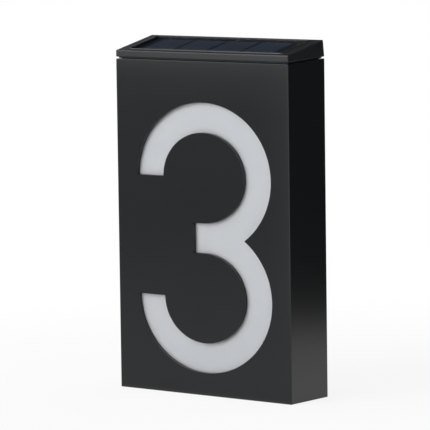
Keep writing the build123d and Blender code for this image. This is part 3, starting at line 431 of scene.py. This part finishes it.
def from_bmesh(name, shape):
    """Mesh from a bmesh, with doubles merged and faces outwards."""
    bmesh.ops.remove_doubles(shape, verts=shape.verts, dist=MERGE_DISTANCE)
    bmesh.ops.recalc_face_normals(shape, faces=shape.faces)
    mesh = bpy.data.meshes.new(name)
    shape.to_mesh(mesh)
    shape.free()
    return mesh


def smooth(mesh, angle=35.0):
    """Smooth shading that stays crisp over edges sharper than the angle."""
    mesh.shade_smooth()
    mesh.set_sharp_from_angle(angle=radians(angle))


def lathe(profile, sides, place):
    """Solid of revolution about local Z.

    The profile's points are (radius, height), and its two ends lie on the axis or meet."""
    shape = bmesh.new()
    rings = []
    for radius, height in profile:
        if radius == 0:
            rings.append([shape.verts.new(place @ Vector((0, 0, height)))])
            continue
        turns = [2 * pi * k / sides for k in range(sides)]
        points = [Vector((radius * cos(a), radius * sin(a), height)) for a in turns]
        rings.append([shape.verts.new(place @ point) for point in points])
    for lower, upper in zip(rings, rings[1:]):
        for k in range(sides):
            j = (k + 1) % sides
            corners = [
                lower[k % len(lower)],
                lower[j % len(lower)],
                upper[j % len(upper)],
                upper[k % len(upper)],
            ]
            face = list(dict.fromkeys(corners))
            if len(face) > 2:
                shape.faces.new(face)
    return shape


def sized_tree(name, *sizes):
    """Geometry Nodes tree with a named input for each size, and the sockets that give them.

    Count is a whole number, and the other sizes are any number."""
    tree = bpy.data.node_groups.new(name, "GeometryNodeTree")
    for size in sizes:
        kind = "NodeSocketInt" if size == "Count" else "NodeSocketFloat"
        tree.interface.new_socket(size, in_out="INPUT", socket_type=kind)
    tree.interface.new_socket("Geometry", in_out="OUTPUT", socket_type="NodeSocketGeometry")
    return tree, tree.nodes.new("NodeGroupInput").outputs


def close_tree(tree, geometry, material):
    """Ends a tree in real geometry with its material."""
    real = add(tree, "GeometryNodeRealizeInstances", {"Geometry": geometry})
    paint = {"Geometry": real.outputs["Geometry"], "Material": material}
    painted = add(tree, "GeometryNodeSetMaterial", paint)
    add(tree, "NodeGroupOutput", {"Geometry": painted.outputs["Geometry"]})
    return tree


def baked(name, tree, place, **sizes):
    """Plain mesh of what a tree makes with its sizes, set in place."""
    holder = bpy.data.objects.new(name, bpy.data.meshes.new(name))
    scene.collection.objects.link(holder)
    modifier = holder.modifiers.new(name, "NODES")
    modifier.node_group = tree
    for socket in tree.interface.items_tree:
        if socket.in_out == "INPUT":
            modifier[socket.identifier] = sizes[socket.name]
    evaluated = holder.evaluated_get(bpy.context.evaluated_depsgraph_get())
    mesh = bpy.data.meshes.new_from_object(evaluated)
    bpy.data.objects.remove(holder)
    mesh.transform(place)
    return mesh


def row_of(tree, item, given):
    """Count copies of an item along X, Pitch apart."""
    step = add(tree, "ShaderNodeCombineXYZ", {"X": given["Pitch"]}).outputs["Vector"]
    line = {"Count": given["Count"], "Offset": step}
    spots = add(tree, "GeometryNodeMeshLine", line, mode="OFFSET")
    copies = {"Points": spots.outputs["Mesh"], "Instance": item}
    row = add(tree, "GeometryNodeInstanceOnPoints", copies)
    return row.outputs["Instances"]


def wafer_row(material):
    """Row of thin plates with cut corners."""
    tree, given = sized_tree(
        "wafer_row", "Count", "Pitch", "Length", "Width", "Thickness", "Corner"
    )
    outline = add(
        tree,
        "GeometryNodeCurvePrimitiveQuadrilateral",
        {"Width": given["Length"], "Height": given["Width"]},
        mode="RECTANGLE",
    )
    cut = add(
        tree,
        "GeometryNodeFilletCurve",
        {"Curve": outline.outputs["Curve"], "Radius": given["Corner"], "Count": 1},
        mode="POLY",
    )
    filled = add(tree, "GeometryNodeFillCurve", {"Curve": cut.outputs["Curve"]}, mode="NGONS")
    face = filled.outputs["Mesh"]
    rise = {"Mesh": face, "Offset Scale": given["Thickness"]}
    wall = add(tree, "GeometryNodeExtrudeMesh", rise, mode="FACES")
    back = add(tree, "GeometryNodeFlipFaces", {"Mesh": face})
    both = add(tree, "GeometryNodeJoinGeometry")
    tree.links.new(wall.outputs["Mesh"], both.inputs["Geometry"])
    tree.links.new(back.outputs["Mesh"], both.inputs["Geometry"])
    doubles = {"Geometry": both.outputs["Geometry"], "Distance": MERGE_DISTANCE}
    plate = add(tree, "GeometryNodeMergeByDistance", doubles)
    return close_tree(tree, row_of(tree, plate.outputs["Geometry"], given), material)


def stud_row(material):
    """Row of short round studs, narrower at the top."""
    tree, given = sized_tree("stud_row", "Count", "Pitch", "Foot", "Top", "Height")
    stud = add(
        tree,
        "GeometryNodeMeshCone",
        {
            "Vertices": 24,
            "Radius Bottom": given["Foot"],
            "Radius Top": given["Top"],
            "Depth": given["Height"],
        },
        fill_type="NGON",
    )
    return close_tree(tree, row_of(tree, stud.outputs["Mesh"], given), material)


def wire_coil(name, material):
    """Round wire wound up a cone or a cylinder."""
    tree, given = sized_tree(name, "Turns", "Start", "End", "Rise", "Wire")
    path = add(
        tree,
        "GeometryNodeCurveSpiral",
        {
            "Resolution": 36,
            "Rotations": given["Turns"],
            "Start Radius": given["Start"],
            "End Radius": given["End"],
            "Height": given["Rise"],
        },
    )
    round_wire = {"Resolution": 12, "Radius": given["Wire"]}
    section = add(tree, "GeometryNodeCurvePrimitiveCircle", round_wire)
    swept = {
        "Curve": path.outputs["Curve"],
        "Profile Curve": section.outputs["Curve"],
        "Fill Caps": True,
    }
    wire = add(tree, "GeometryNodeCurveToMesh", swept)
    return close_tree(tree, wire.outputs["Mesh"], material)


# ---- battery ----------------------------------------------------------------------------
def along_x(x, y, z):
    """Place of a lathe whose axis points along +X."""
    turn = Matrix(((0, 0, 1), (1, 0, 0), (0, 1, 0))).to_4x4()
    return Matrix.Translation((x, y, z)) @ turn


cell_low, cell_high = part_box("battery_cell")
cell_y = (cell_low.y + cell_high.y) / 2
cell_z = (cell_low.z + cell_high.z) / 2
cell_radius = (cell_high.z - cell_low.z) / 2
cell_length = cell_high.x - cell_low.x
nub_length = 1.2 * MM
sleeve_wall = 0.15 * MM
cell_sides = 48
can_end = cell_length - nub_length
can_radius = cell_radius - sleeve_wall

can_profile = [
    (0, 0),
    (can_radius - 1.2 * MM, 0),
    (can_radius - 1.0 * MM, 0.3 * MM),
    (can_radius - 0.4 * MM, 0.1 * MM),
    (can_radius, 0.6 * MM),
    (can_radius, can_end - 0.8 * MM),
    (can_radius - 0.5 * MM, can_end - 0.15 * MM),
    (can_radius - 1.4 * MM, can_end - 0.15 * MM),
    (can_radius - 1.8 * MM, can_end - 0.5 * MM),
    (3.6 * MM, can_end - 0.5 * MM),
    (3.2 * MM, can_end),
    (2.6 * MM, can_end + 0.1 * MM),
    (2.6 * MM, cell_length - 0.3 * MM),
    (2.3 * MM, cell_length),
    (0, cell_length),
]
cell_place = along_x(cell_low.x, cell_y, cell_z)
can_mesh = from_bmesh("battery_can", lathe(can_profile, cell_sides, cell_place))
smooth(can_mesh)
battery_can = make_piece("battery_can", can_mesh, NICKEL, "solar_module")

sleeve_profile = [
    (can_radius - 0.9 * MM, 0.12 * MM),
    (cell_radius - 0.25 * MM, 0.12 * MM),
    (cell_radius, 0.5 * MM),
    (cell_radius, can_end - 5.2 * MM),
    (cell_radius - 0.22 * MM, can_end - 4.6 * MM),
    (cell_radius - 0.22 * MM, can_end - 4.0 * MM),
    (cell_radius, can_end - 3.4 * MM),
    (cell_radius, can_end - 0.6 * MM),
    (cell_radius - 0.3 * MM, can_end - 0.1 * MM),
    (can_radius - 1.3 * MM, can_end - 0.08 * MM),
    (can_radius - 1.3 * MM, can_end - 0.14 * MM),
    (can_radius - 0.05 * MM, can_end - 0.75 * MM),
    (can_radius - 0.05 * MM, 0.55 * MM),
    (can_radius - 0.9 * MM, 0.2 * MM),
    (can_radius - 0.9 * MM, 0.12 * MM),
]
sleeve_mesh = from_bmesh("battery_sleeve", lathe(sleeve_profile, cell_sides, cell_place))
smooth(sleeve_mesh)
battery_sleeve = make_piece(
    "battery_sleeve", sleeve_mesh, BATTERY_SLEEVE, "solar_module"
)
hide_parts("battery_cell")
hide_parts("battery_cell")

# Spring: a cone of round wire, its wide end on the plate
spring_low, spring_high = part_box("battery_spring")
spring_wire = 0.35 * MM
spring_mesh = baked(
    "battery_spring_coil",
    wire_coil("spring_wire", NICKEL),
    along_x(spring_low.x + spring_wire, cell_y, cell_z),
    Turns=3.0,
    Start=(spring_high.z - spring_low.z) / 2 - spring_wire,
    End=2.4 * MM,
    Rise=spring_high.x - spring_low.x - 2 * spring_wire,
    Wire=spring_wire,
)
smooth(spring_mesh, angle=60)
spring_piece = make_piece(
    "battery_spring_coil", spring_mesh, NICKEL, "solar_module"
)
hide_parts("battery_spring")

# ---- solar cells ------------------------------------------------------------------------
PANEL_TILT = radians(12.1)  # slope of the cap's top
CELL_COUNT = 4
CELL_LENGTH, CELL_WIDTH, CELL_GAP = 22.7 * MM, 21.4 * MM, 2.3 * MM
CELL_SETBACK = 1.9 * MM  # towards the rear of the panel, which leaves a dark margin in front
CELL_THICKNESS = 0.20 * MM
CELL_ROOM = 0.25 * MM  # between the backing and the cover
CELL_CORNER = 0.7 * MM

cells_low, cells_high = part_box("solar_cells")
cells_middle = (cells_low + cells_high) / 2
CELL_PITCH = CELL_LENGTH + CELL_GAP
first_cell = Vector((-(CELL_COUNT - 1) / 2 * CELL_PITCH, CELL_SETBACK, -CELL_ROOM / 2))
on_slope = Matrix.Translation(cells_middle) @ Matrix.Rotation(PANEL_TILT, 4, "X")
wafer_mesh = baked(
    "solar_wafers",
    wafer_row(SILICON),
    on_slope @ Matrix.Translation(first_cell),
    Count=CELL_COUNT,
    Pitch=CELL_PITCH,
    Length=CELL_LENGTH,
    Width=CELL_WIDTH,
    Thickness=CELL_THICKNESS,
    Corner=CELL_CORNER,
)
wafers = make_piece("solar_wafers", wafer_mesh, SILICON, "solar_module")
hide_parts("solar_cells")

# ---- lamps and choke --------------------------------------------------------------------
# Yellow windows on the lamps, which face down through the tray's slot
LAMP_COUNT, LAMP_PITCH = 8, 12.0 * MM
WINDOW_BITE = 0.01 * MM  # how far a window reaches into its lamp
lamps_low, lamps_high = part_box("led_lamps")
lamp_spot = Vector(
    (
        -(LAMP_COUNT - 1) / 2 * LAMP_PITCH,
        (lamps_low.y + lamps_high.y) / 2,
        lamps_low.z + WINDOW_BITE,
    )
)
phosphor_mesh = baked(
    "lamp_windows",
    stud_row(PHOSPHOR),
    Matrix.Translation(lamp_spot) @ Matrix.Rotation(pi, 4, "X"),
    Count=LAMP_COUNT,
    Pitch=LAMP_PITCH,
    Foot=0.95 * MM,
    Top=0.75 * MM,
    Height=0.05 * MM,
)
make_piece("lamp_windows", phosphor_mesh, PHOSPHOR, "solar_module")

# Copper winding between the choke's two flanges
choke_low, choke_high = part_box("inductor")
choke_flange = 0.9 * MM
winding_wire = 0.21 * MM
winding_mesh = baked(
    "choke_winding",
    wire_coil("winding_wire", COPPER),
    Matrix.Translation(
        (
            (choke_low.x + choke_high.x) / 2,
            (choke_low.y + choke_high.y) / 2,
            choke_low.z + choke_flange + winding_wire,
        )
    ),
    Turns=4.0,
    Start=2.3 * MM,
    End=2.3 * MM,
    Rise=choke_high.z - choke_low.z - 2 * choke_flange - 2 * winding_wire,
    Wire=winding_wire,
)
smooth(winding_mesh, angle=60)
make_piece("choke_winding", winding_mesh, COPPER, "solar_module")

# ---- stage ------------------------------------------------------------------------------
# Lengths of the stage are in metres
FLOOR_REACH = 30.0
# The shadow is full as far as SHADOW_NEAR from the object and has faded out at SHADOW_REACH
SHADOW_NEAR, SHADOW_REACH = 0.12, 0.5
NEAR_WHITE = 0.86  # share of plain white in the floor's look under the object
# In reflections, the floor close in front of the object is dimmer: painted shade that stands in
# for the object's own shade.
# It loses the share FRONT_DIMMING of its light from DIM_FULL_Y forwards
FRONT_DIMMING = 0.54
DIM_FULL_Y, DIM_START_Y = -0.030, -0.014
DIM_REACH = 0.2  # from here on the dimming fades, as far as SHADOW_REACH
WHITE = (1.0, 1.0, 1.0, 1.0)
PAPER = (0.9, 0.9, 0.9, 1.0)


def stage_material(name):
    """White floor: it keeps the shadow close by, and further off it is the plain backdrop."""
    material, tree, place = blank(name)
    rays = add(tree, "ShaderNodeLightPath").outputs
    distance = add(tree, "ShaderNodeVectorMath", {0: place}, operation="LENGTH").outputs["Value"]
    far = eased(tree, distance, SHADOW_NEAR, SHADOW_REACH, NEAR_WHITE, 1.0)
    seen = maths(tree, "MAXIMUM", rays["Is Camera Ray"], rays["Is Glossy Ray"])
    seen = maths(tree, "MAXIMUM", seen, rays["Is Transmission Ray"])
    share = maths(tree, "MULTIPLY", far, seen)
    # Painted shade: in reflections only, the floor's glow is dimmed in front of the object
    depth = add(tree, "ShaderNodeSeparateXYZ", {"Vector": place}).outputs["Y"]
    front = eased(tree, depth, DIM_FULL_Y, DIM_START_Y, FRONT_DIMMING, 0.0)
    near = eased(tree, distance, DIM_REACH, SHADOW_REACH, 1.0, 0.0)
    dimming = maths(tree, "MULTIPLY", front, near)
    dimming = maths(tree, "MULTIPLY", dimming, rays["Is Glossy Ray"])
    level = maths(tree, "SUBTRACT", 1.0, dimming)
    paper = add(tree, "ShaderNodeBsdfDiffuse", {"Color": PAPER}).outputs["BSDF"]
    white = add(tree, "ShaderNodeEmission", {"Color": WHITE, "Strength": level})
    both = {0: share, 1: paper, 2: white.outputs["Emission"]}
    show(tree, add(tree, "ShaderNodeMixShader", both).outputs["Shader"])
    return material


def make_floor():
    """Floor that reaches as far as the camera sees."""
    shape = bmesh.new()
    bmesh.ops.create_grid(shape, x_segments=1, y_segments=1, size=FLOOR_REACH)
    mesh = bpy.data.meshes.new("floor")
    shape.to_mesh(mesh)
    shape.free()
    mesh.materials.append(stage_material("white_paper_floor"))
    floor = bpy.data.objects.new("floor", mesh)
    scene.collection.objects.link(floor)


make_floor()

FLAG_RADIUS = 0.35  # round the object's upright axis
FLAG_PANELS = 12  # flat strips that make up a flag's curve
# Black flags: name, from and to in degrees round from +X, bottom and top. The rear one hangs
# clear of the floor, so that the cap's far edges catch white under it.
FLAGS = (
    ("side_flag", 15.0, 108.0, 0.0, 0.85),
    ("rear_flag", 108.0, 180.0, 0.30, 0.85),
)
CARD_LEFT, CARD_RIGHT, CARD_TOP = -0.27, -0.01, 0.19
CARD_Y = -0.13
CARD_LEVEL = 0.24  # brightness of the grey card in reflections
CARD_FOOT_LEVEL = 0.46  # its foot glows brighter: painted light that stands in for light from the floor
CARD_FADE = 0.10  # height where that light has faded out


def hang(name, places, bottom, top, material):
    """Upright sheet along places on the floor. Only its reflection is seen."""
    shape = bmesh.new()
    columns = [[shape.verts.new((x, y, z)) for z in (bottom, top)] for x, y in places]
    for left, right in zip(columns, columns[1:]):
        shape.faces.new((left[0], right[0], right[1], left[1]))
    mesh = bpy.data.meshes.new(name)
    shape.to_mesh(mesh)
    shape.free()
    mesh.materials.append(material)
    sheet = bpy.data.objects.new(name, mesh)
    scene.collection.objects.link(sheet)
    sheet.visible_camera = False
    sheet.visible_shadow = False
    sheet.visible_diffuse = False
    sheet.visible_transmission = False


def hang_flags():
    """Black cloth beside and behind the object, which its side and the panel reflect."""
    material = moulded("black_studio_cloth", "#050505", "#080808", 1.0, grain_depth_mm=0.1)
    for name, start, end, bottom, top in FLAGS:
        turns = [radians(start + (end - start) * k / FLAG_PANELS) for k in range(FLAG_PANELS + 1)]
        places = [(FLAG_RADIUS * cos(a), FLAG_RADIUS * sin(a)) for a in turns]
        hang(name, places, bottom, top, material)


def hang_card():
    """Grey card in front, which the front face reflects."""
    material, tree, place = blank("grey_studio_card")
    height = add(tree, "ShaderNodeSeparateXYZ", {"Vector": place}).outputs["Z"]
    # Painted light: the card's glow is brighter at its foot, as if lit by the floor
    level = eased(tree, height, 0.0, CARD_FADE, CARD_FOOT_LEVEL, CARD_LEVEL)
    glow = add(tree, "ShaderNodeEmission", {"Color": WHITE, "Strength": level})
    show(tree, glow.outputs["Emission"])
    hang("grey_card", [(CARD_LEFT, CARD_Y), (CARD_RIGHT, CARD_Y)], 0.0, CARD_TOP, material)


hang_flags()
hang_card()

MIDDLE = Vector((0.0, 0.0, 0.1))  # of the object


def soft_lamp(name, place, size, power):
    """Square soft box that points at the object's middle. Its power is in watts."""
    data = bpy.data.lights.new(name, "AREA")
    data.shape = "SQUARE"
    data.size = size
    data.energy = power
    lamp = bpy.data.objects.new(name, data)
    scene.collection.objects.link(lamp)
    lamp.location = place
    lamp.rotation_euler = (MIDDLE - Vector(place)).to_track_quat("-Z", "Y").to_euler()


soft_lamp("front_soft_box", (-0.9, -2.2, 1.3), size=2.0, power=50.0)
soft_lamp("top_soft_box", (-0.2, 0.2, 2.2), size=1.2, power=10.0)
soft_lamp("rear_soft_box", (0.6, 2.2, 1.2), size=1.4, power=8.0)
soft_lamp("edge_soft_box", (-1.3, -0.5, 1.6), size=0.7, power=3.0)

AMBIENT = 0.25  # what the surroundings give to the surfaces
GLOSS_WHITE = 0.75  # how bright the open side of the studio is in reflections


def make_surroundings():
    """White to the camera and through clear pieces, and dimmer for all else."""
    world = bpy.data.worlds.new("white_studio")
    scene.world = world
    world.use_nodes = True
    tree = world.node_tree
    tree.nodes.clear()
    rays = add(tree, "ShaderNodeLightPath").outputs
    clear = maths(tree, "MAXIMUM", rays["Is Camera Ray"], rays["Is Transmission Ray"])
    gloss = maths(tree, "MULTIPLY", rays["Is Glossy Ray"], GLOSS_WHITE - AMBIENT)
    level = maths(tree, "MAXIMUM", maths(tree, "ADD", gloss, AMBIENT), clear)
    light = add(tree, "ShaderNodeBackground", {"Color": WHITE, "Strength": level})
    add(tree, "ShaderNodeOutputWorld", {"Surface": light.outputs["Background"]})


make_surroundings()
